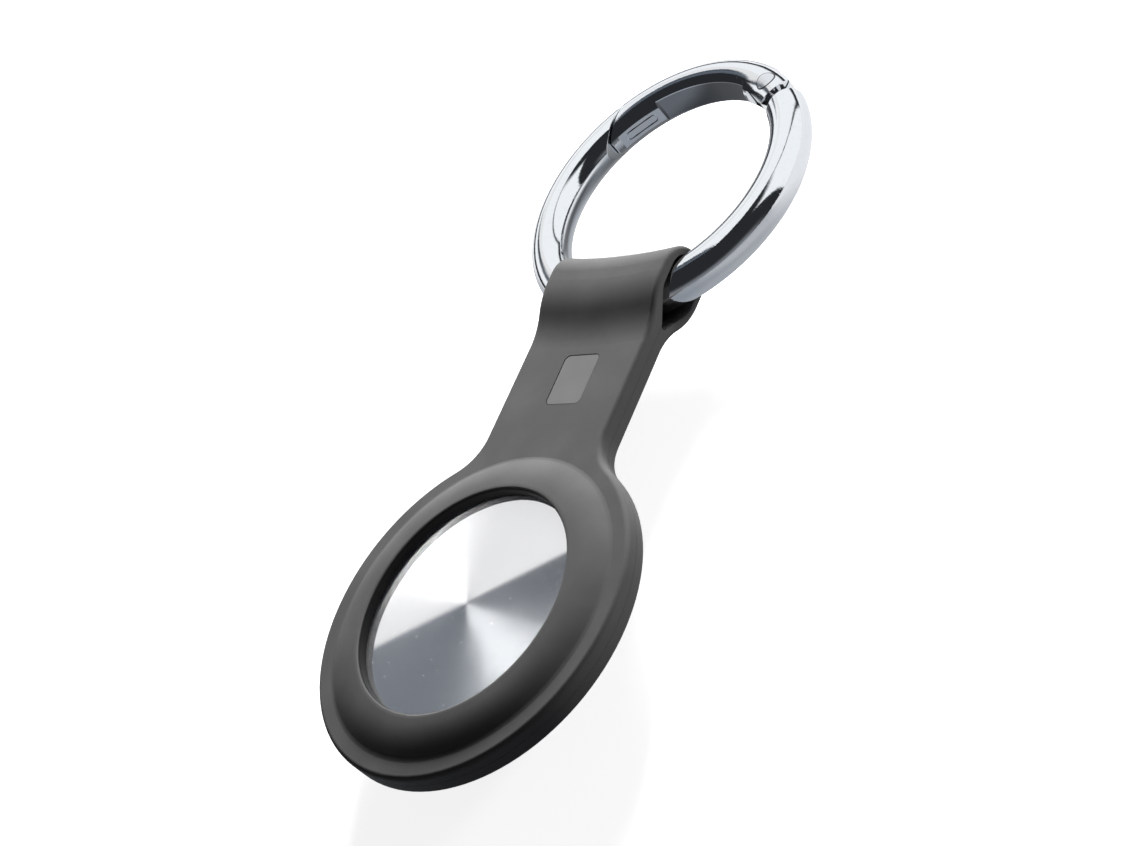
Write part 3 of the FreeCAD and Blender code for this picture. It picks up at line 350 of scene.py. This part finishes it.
def circuit_board():
    """Green solder mask over copper: faint tracks as concentric and radial lines."""
    material, graph = new_graph("solder_mask")
    across, along, distance = graph.from_axis(DISC)
    heading = graph.math("ARCTAN2", along, across)
    rounds = graph.ramp(graph.math("SINE", graph.times(distance, math.tau / TRACK_PITCH)), 0.5, 0.7)
    spokes = graph.ramp(graph.math("SINE", graph.times(heading, SPOKES)), 0.8, 0.9)
    tracks = graph.math("MAXIMUM", rounds, spokes)
    gloss = graph.ramp(graph.noise(MASK_SCALE), *GLOSS_STRETCH, *MASK_GLOSS)
    surface(graph, Base_Color=graph.mix(tracks, MASK_GREEN, TRACK_GREEN), Roughness=gloss,
            Normal=graph.bump(tracks, TRACK_DEPTH))
    return material


BRASS = ((0.72, 0.55, 0.28, 1), (0.60, 0.44, 0.21, 1), 0.24)
DARK_GRAIN = 0.004 * MM

FINISHES = {
    "holder_sleeve": silicone(),
    "ring_body": chrome("ring_chrome", (0.84, 0.85, 0.86, 1.0), 0.06, 0.012 * MM),
    "gate_arm": chrome("gate_chrome", (0.83, 0.84, 0.855, 1.0), 0.07, 0.016 * MM, shade_inner_flat=True),
    "gate_rivet": chrome("rivet_steel", (0.74, 0.75, 0.77, 1.0), 0.13, 0.008 * MM),
    "gate_plunger": brushed("plunger_steel", (0.62, 0.63, 0.65, 1), (0.50, 0.51, 0.53, 1), 0.25),
    "gate_spring": brushed("spring_steel", (0.55, 0.56, 0.58, 1), (0.42, 0.43, 0.45, 1), 0.28),
    "tag_shell": moulded("white_gloss", (0.80, 0.80, 0.79, 1), (0.76, 0.76, 0.75, 1),
                         0.16, 0.0008 * MM, coat=0.5),
    "tag_cover": spun_steel(),
    "tag_cover_ring": moulded("bayonet_plastic", (0.020, 0.020, 0.021, 1), (0.028, 0.028, 0.029, 1),
                              0.42, DARK_GRAIN),
    "tag_tray": moulded("tray_plastic", (0.018, 0.018, 0.019, 1), (0.026, 0.026, 0.027, 1),
                        0.45, DARK_GRAIN),
    "coin_cell_can": brushed("cell_can", (0.66, 0.66, 0.65, 1), (0.56, 0.56, 0.55, 1), 0.2),
    "coin_cell_cap": brushed("cell_cap", (0.60, 0.60, 0.60, 1), (0.50, 0.50, 0.50, 1), 0.24),
    "coin_cell_gasket": moulded("gasket_plastic", (0.10, 0.12, 0.17, 1), (0.13, 0.15, 0.20, 1),
                                0.4, 0.003 * MM),
    "tag_contact_positive": brushed("leaf_brass", *BRASS),
    "tag_contact_negative": brushed("button_brass", *BRASS),
    "tag_circuit_board": circuit_board(),
    "tag_chips": moulded("chip_resin", (0.014, 0.014, 0.015, 1), (0.022, 0.022, 0.023, 1),
                         0.5, DARK_GRAIN),
    "tag_sounder_cup": brushed("sounder_steel", (0.58, 0.58, 0.59, 1), (0.46, 0.46, 0.47, 1), 0.3),
    "tag_sounder_magnet": brushed("magnet_nickel", (0.56, 0.55, 0.53, 1), (0.46, 0.45, 0.44, 1), 0.22),
    "tag_sounder_coil": brushed("coil_copper", (0.62, 0.27, 0.13, 1), (0.48, 0.19, 0.08, 1), 0.35),
    "tag_antenna": brushed("antenna_brass", (0.74, 0.57, 0.30, 1), (0.62, 0.46, 0.23, 1), 0.26),
}

for name, finish in FINISHES.items():
    for slot in nodes[name].material_slots:
        slot.material = finish


# The bare inlay that lies in the strap's shallow recess

INLAY_MIDDLE = Vector((0.5, 0.799, 8.05)) * MM
INLAY_WIDTH = 4.7 * MM
INLAY_LENGTH = 6.1 * MM
INLAY_CORNER = 0.65 * MM
INLAY_HEIGHT = 0.11 * MM
INLAY_BEVEL = 0.05 * MM
INLAY_SHOULDER = 0.3 * INLAY_BEVEL
INLAY_GREY = (0.174, 0.173, 0.173, 1)
INLAY_WORN = (0.190, 0.189, 0.189, 1)
INLAY_ROUGHNESS = 0.5
INLAY_GRAIN = 0.004 * MM
CORNER_STEPS = 10


def rounded_plan(width, length, corner, steps):
    """Points round a rectangle with round corners, about the origin."""
    points = []
    for quarter, (side_x, side_y) in enumerate(((1, 1), (-1, 1), (-1, -1), (1, -1))):
        centre = Vector((side_x * (width / 2 - corner), side_y * (length / 2 - corner)))
        for step in range(steps + 1):
            heading = (quarter + step / steps) * math.pi / 2
            points.append(centre + corner * Vector((math.cos(heading), math.sin(heading))))
    return points


def inlay_mesh():
    """A thin plate with round corners and a softly bevelled upper edge."""
    mesh = bmesh.new()
    levels = (
        (0.0, 0.0),
        (INLAY_HEIGHT - INLAY_BEVEL, 0.0),
        (INLAY_HEIGHT - INLAY_SHOULDER, INLAY_SHOULDER),
        (INLAY_HEIGHT, INLAY_BEVEL),
    )
    rows = []
    for height, inset in levels:
        plan = rounded_plan(INLAY_WIDTH - 2 * inset, INLAY_LENGTH - 2 * inset,
                            INLAY_CORNER - inset, CORNER_STEPS)
        rows.append([mesh.verts.new((point.x, point.y, height)) for point in plan])
    for below, above in zip(rows, rows[1:]):
        for index in range(len(below)):
            after = (index + 1) % len(below)
            mesh.faces.new((below[index], below[after], above[after], above[index]))
    mesh.faces.new(rows[-1])
    mesh.faces.new(list(reversed(rows[0])))
    data = bpy.data.meshes.new("bare_inlay")
    mesh.to_mesh(data)
    mesh.free()
    for polygon in data.polygons:
        polygon.use_smooth = len(polygon.vertices) == 4
    return data


def make_inlay():
    data = inlay_mesh()
    inlay = bpy.data.objects.new("bare_inlay", data)
    inlay.location = INLAY_MIDDLE
    bpy.context.scene.collection.objects.link(inlay)
    data.materials.append(moulded("inlay_silicone", INLAY_GREY, INLAY_WORN, INLAY_ROUGHNESS, INLAY_GRAIN))
    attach(inlay, "holder")


make_inlay()


# The dark studio that the metal mirrors, with headings and rises in degrees

DARK = (0.023, 0.025, 0.028, 1.0)
PANEL = (1.0, 1.03, 1.06, 1.0)
SIDE_HEADINGS = (18, 80)
SIDE_SOFT = 1.5
SIDE_RISES = (-20, 62)
SIDE_RISE_SOFT = 5
TALL_HEADINGS = (84, 148)
TALL_SOFT = 2
TALL_FOOT = (7, 12)
SKIRT_HEADINGS = (84, 177)
SKIRT_SOFT = 2
SKIRT_RISES = (9.5, 23)
SKIRT_RISE_SOFT = 2.5
LOW_PANEL = grey(0.90)
LOW_HEADINGS = (136, 176)
LOW_SOFT = 4
LOW_FOOT = (28, 33)
LOW_EDGE_NORMAL = (-0.3356, 0.5972, -0.7285)
LOW_EDGE_SOFT = 0.001
SLATE = (0.118, 0.138, 0.168, 1.0)
SLATE_SHADE = (0.035, 0.045, 0.062, 1.0)
SLATE_FADE = (151, 157)
WALL_HEADINGS = (147, 170)
WALL_SOFT = 2.5
WALL_FOOT = (22, 26)
SWEEP = (0.22, 0.235, 0.26, 1.0)
SWEEP_HEADINGS = (-115, -12)
SWEEP_SOFT = 12
SWEEP_TOP = (0, 26)
AMBIENT = grey(0.045)
WHITE = grey(1.0)


def degrees(graph, radians):
    return graph.times(radians, 180 / math.pi)


def studio_colour(graph):
    """The studio's colour in each direction, as the metal mirrors it."""
    x, y, z = graph.split(graph.node("ShaderNodeTexCoord").outputs["Generated"])
    heading = degrees(graph, graph.math("ARCTAN2", y, x))
    rise = degrees(graph, graph.math("ARCSINE", z))
    wall = graph.times(graph.band(heading, *WALL_HEADINGS, WALL_SOFT), graph.ramp(rise, *WALL_FOOT))
    side = graph.times(graph.band(heading, *SIDE_HEADINGS, SIDE_SOFT),
                       graph.band(rise, *SIDE_RISES, SIDE_RISE_SOFT))
    tall = graph.times(graph.band(heading, *TALL_HEADINGS, TALL_SOFT), graph.ramp(rise, *TALL_FOOT))
    skirt = graph.times(graph.band(heading, *SKIRT_HEADINGS, SKIRT_SOFT),
                        graph.band(rise, *SKIRT_RISES, SKIRT_RISE_SOFT))
    panels = graph.math("MAXIMUM", side, graph.math("MAXIMUM", tall, skirt))
    edge = graph.plus(*(graph.times(part, share) for part, share in zip((x, y, z), LOW_EDGE_NORMAL)))
    low = graph.times(graph.ramp(edge, -LOW_EDGE_SOFT, LOW_EDGE_SOFT),
                      graph.band(heading, *LOW_HEADINGS, LOW_SOFT), graph.ramp(rise, *LOW_FOOT))
    sweep = graph.times(graph.band(heading, *SWEEP_HEADINGS, SWEEP_SOFT), graph.fall(rise, *SWEEP_TOP))
    slate = graph.mix(graph.ramp(heading, *SLATE_FADE), SLATE_SHADE, SLATE)
    studio = graph.mix(sweep, graph.mix(wall, DARK, slate), SWEEP)
    studio = graph.mix(panels, studio, PANEL)
    return graph.mix(low, studio, LOW_PANEL)


def make_world():
    """White to the camera, the studio in the metal, and a dim even light on all else."""
    world = bpy.data.worlds.new("studio")
    bpy.context.scene.world = world
    graph = Graph(world)
    path = graph.node("ShaderNodeLightPath").outputs
    straight = graph.math("LESS_THAN", path["Diffuse Depth"], 0.5)
    light = graph.mix(graph.times(path["Is Glossy Ray"], straight), AMBIENT, studio_colour(graph))
    seen = graph.math("MAXIMUM", path["Is Camera Ray"], path["Is Transmission Ray"])
    ground = graph.node("ShaderNodeBackground")
    graph.put(ground.inputs["Color"], graph.mix(seen, light, WHITE))
    output = graph.node("ShaderNodeOutputWorld")
    graph.put(output.inputs["Surface"], ground.outputs[0])


# Floor: white to the camera, and in the metal a painted reflection, with painted shadow dark below the part and
# paler towards its rim

FLOOR_SIDE = 6.0
FLOOR_PALE = grey(0.72)
FLOOR_IN_METAL = grey(0.06)
FLOOR_BOUNCE = grey(0.12)
FLOOR_GLOW = 0.16
FLOOR_WHITE = (0.86, 1.0)
FLOOR_WHITE_FADE = (150 * MM, 330 * MM)
# Painted shadow beneath the part and paler painted reflection around it, as the metal mirrors the floor
SHADOW_BENEATH_LOOP = (0.28, 0.305, 0.345, 1.0)
SHADOW_BENEATH_GATE = (0.045, 0.052, 0.062, 1.0)
BENEATH_FADE = (29 * MM, 33.5 * MM)
OUTSIDE = (0.42, 0.44, 0.475, 1.0)
FAR_OUTSIDE = (0.80, 0.82, 0.85, 1.0)
OUTSIDE_FADE = (18 * MM, 34 * MM)
RIGHT_FADE = (13 * MM, 35 * MM)
RIGHT_SLANT = 0.5
LEFT_FADE = (-24 * MM, -9 * MM)


def painted_floor_reflection(graph):
    """The floor's tone as the ring mirrors it: a painted reflection, with painted shadow darkest beneath the
    gate, dark beneath the loop, and paler outside and far out.
    """
    across, along, _ = graph.split(graph.place())
    right = graph.ramp(graph.plus(across, graph.times(along, RIGHT_SLANT)), *RIGHT_FADE)
    left = graph.fall(across, *LEFT_FADE)
    # Painted shadow: the floor glows darker under the loop and the gate, by position on the floor
    shadow_beneath = graph.mix(graph.ramp(along, *BENEATH_FADE), SHADOW_BENEATH_LOOP, SHADOW_BENEATH_GATE)
    pale_rim = graph.mix(graph.ramp(along, *OUTSIDE_FADE), OUTSIDE, FAR_OUTSIDE)
    return graph.mix(graph.math("MAXIMUM", left, right), shadow_beneath, pale_rim)


def pale_floor():
    """A glow that is white to the camera and shows the metal a painted reflection with painted shadow, over a
    matt ground that keeps a soft shadow of the object.
    """
    material, graph = new_graph("pale_floor")
    path = graph.node("ShaderNodeLightPath").outputs
    glow = graph.node("ShaderNodeEmission")
    white = graph.ramp(graph.from_axis(Vector())[2], *FLOOR_WHITE_FADE, *FLOOR_WHITE)
    graph.put(glow.inputs["Color"], graph.mix(path["Is Camera Ray"], painted_floor_reflection(graph), white))
    seen = graph.math("MAXIMUM", path["Is Camera Ray"], path["Is Glossy Ray"])
    graph.put(glow.inputs["Strength"], graph.math("MAXIMUM", seen, FLOOR_GLOW))
    matt = graph.node("ShaderNodeBsdfDiffuse")
    pale = graph.mix(path["Is Glossy Ray"], FLOOR_PALE, FLOOR_IN_METAL)
    graph.put(matt.inputs["Color"], graph.mix(path["Is Diffuse Ray"], pale, FLOOR_BOUNCE))
    both = graph.node("ShaderNodeAddShader")
    graph.put(both.inputs[0], glow.outputs[0])
    graph.put(both.inputs[1], matt.outputs[0])
    graph.finish(both.outputs[0])
    return material


def make_floor():
    half = FLOOR_SIDE / 2
    corners = [(-half, -half, 0), (half, -half, 0), (half, half, 0), (-half, half, 0)]
    data = bpy.data.meshes.new("floor")
    data.from_pydata(corners, [], [(0, 1, 2, 3)])
    data.materials.append(pale_floor())
    floor = bpy.data.objects.new("floor", data)
    bpy.context.scene.collection.objects.link(floor)


# Lamps: a key and a fill for the matt pieces, and a glint and a rear panel that only the cover mirrors

KEY_PLACE = Vector((-80.6, 215.1, 109.0)) * MM
KEY_SIDE = 90 * MM
KEY_POWER = 1.86
FILL_PLACE = Vector((255, 304, 40)) * MM
FILL_SIDE = 70 * MM
FILL_POWER = 1.2
GLINT_REACH = 400 * MM
GLINT_PLACE = DISC + Vector((-0.470, 0.1765, 0.865)) * GLINT_REACH
GLINT_SIDE = 80 * MM
GLINT_POWER = 1.36
REAR_REACH = 340 * MM
REAR_PLACE = DISC + Vector((0.0668, -0.763, 0.643)) * REAR_REACH
REAR_SIDE = 560 * MM
REAR_POWER = 0.6


def make_lamp(name, place, side, power, shown_in=None):
    """A square lamp that faces the part and lights its matt pieces, or shows in one node's metal alone."""
    light = bpy.data.lights.new(name, "AREA")
    light.size = side
    light.energy = power
    lamp = bpy.data.objects.new(name, light)
    lamp.location = place
    lamp.rotation_euler = place.to_track_quat("Z", "Y").to_euler()
    lamp.visible_camera = False
    lamp.visible_glossy = shown_in is not None
    lamp.visible_diffuse = shown_in is None
    if shown_in is not None:
        receivers = bpy.data.collections.new(name + "_receivers")
        receivers.objects.link(nodes[shown_in])
        lamp.light_linking.receiver_collection = receivers
    bpy.context.scene.collection.objects.link(lamp)


# Camera at the photograph's angle

EYE = Vector((146.673, -93.943, 132.027)) * MM
AIM = Vector((0.575, -3.707, 6.899)) * MM
ROLL = math.radians(-45.857)
LENS = 67.196
SENSOR = 36.0


def make_camera():
    data = bpy.data.cameras.new("camera")
    data.lens = LENS
    data.sensor_width = SENSOR
    data.clip_start = 1 * MM
    camera = bpy.data.objects.new("camera", data)
    facing = (AIM - EYE).to_track_quat("-Z", "Y").to_matrix().to_4x4()
    camera.matrix_world = Matrix.Translation(EYE) @ facing @ Matrix.Rotation(ROLL, 4, "Z")
    bpy.context.scene.collection.objects.link(camera)
    bpy.context.scene.camera = camera


make_world()
make_floor()
make_lamp("key", KEY_PLACE, KEY_SIDE, KEY_POWER)
make_lamp("fill", FILL_PLACE, FILL_SIDE, FILL_POWER)
make_lamp("glint", GLINT_PLACE, GLINT_SIDE, GLINT_POWER, shown_in="tag_cover")
make_lamp("rear_panel", REAR_PLACE, REAR_SIDE, REAR_POWER, shown_in="tag_cover")
make_camera()
bpy.context.scene.view_settings.view_transform = "Standard"
